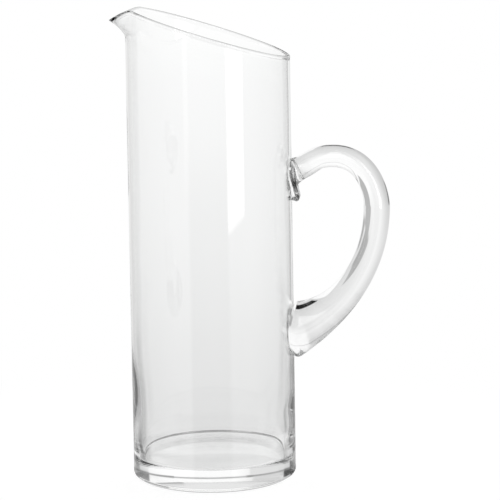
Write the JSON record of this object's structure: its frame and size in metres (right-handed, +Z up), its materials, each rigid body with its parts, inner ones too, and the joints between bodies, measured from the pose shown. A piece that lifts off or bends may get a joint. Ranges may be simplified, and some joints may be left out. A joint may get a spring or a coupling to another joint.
{
  "type": "water pitcher",
  "caption": "Tall clear glass water pitcher with a slanted mouth, a small pulled pouring lip, a heavy base and a drawn glass handle sealed to its side.",
  "frame": {"origin": "centre of the flat underside of the foot, on the body's axis", "axes": "+Z up along the body's axis, +X towards the handle, -X towards the pouring lip, the part is alike on both sides of y = 0"},
  "size_m": [0.1673, 0.1, 0.2854],
  "materials": {
    "body_glass": "clear blown glass, fire polished, with faint waves from blowing",
    "handle_glass": "clear solid drawn glass, fire polished"
  },
  "bodies": {
    "root": {"body": "body_glass", "handle": "handle_glass"}
  },
  "joints": []
}
